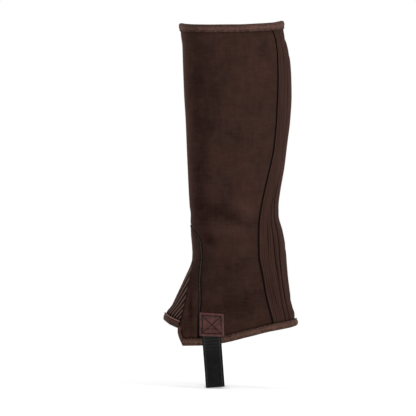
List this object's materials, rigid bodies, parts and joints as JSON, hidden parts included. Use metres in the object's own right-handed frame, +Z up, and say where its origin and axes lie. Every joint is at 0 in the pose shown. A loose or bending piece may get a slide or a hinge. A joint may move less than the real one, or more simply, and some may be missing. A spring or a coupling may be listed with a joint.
{
  "type": "half chap",
  "caption": "Riding half chap in the form it has on a leg: suede tube with a ribbed elastic calf panel and instep gusset, bound edges, a zip down the outer side and a foot strap.",
  "frame": {"origin": "inside the hollow, on the axis of the leg that it is worn on, at the narrowest ring above the ankle, 172 mm above the lowest point of the hem", "axes": "+Z up the leg, -X to the shin and toe, +X to the calf and heel, -Y to the near (inner) side and +Y to the far (outer) side with the zip, so this is a right leg's"},
  "size_m": [0.166, 0.1096, 0.4606],
  "materials": {
    "suede": "dark brown suede, matt nap",
    "elastic": "ribbed elastic, dark brown",
    "binding": "brushed binding tape, brown",
    "piping": "black cord piping",
    "patch": "reddish brown leather",
    "strap": "black elastic webbing",
    "zip_tape": "black woven zip tape",
    "zip_coil": "black nylon coil",
    "zip_metal": "dark lacquered zip metal"
  },
  "bodies": {
    "chap": {"main_panel": "suede", "calf_panel": "elastic", "rear_piping": "piping", "instep_panel": "suede", "front_piping": "piping", "instep_gusset": "elastic", "gusset_binding": "binding", "hem_binding_near": "binding", "hem_binding_far": "binding", "top_binding": "binding", "strap_patch_near": "patch", "strap_patch_far": "patch", "foot_strap": "strap", "zip_tape_front": "zip_tape", "zip_tape_rear": "zip_tape", "zip_chain": "zip_coil", "zip_slider": "zip_metal", "zip_box": "zip_metal"},
    "pull_tab": {"zip_pull_tab": "zip_metal"}
  },
  "joints": [
    {"name": "pull_tab_hinge", "type": "hinge", "parent": "chap", "child": "pull_tab", "pos_m": [0.05328, 0.0358, 0.21506], "axis": [0.6607, -0.7464, 0.0797], "range_deg": [0, 150]}
  ]
}
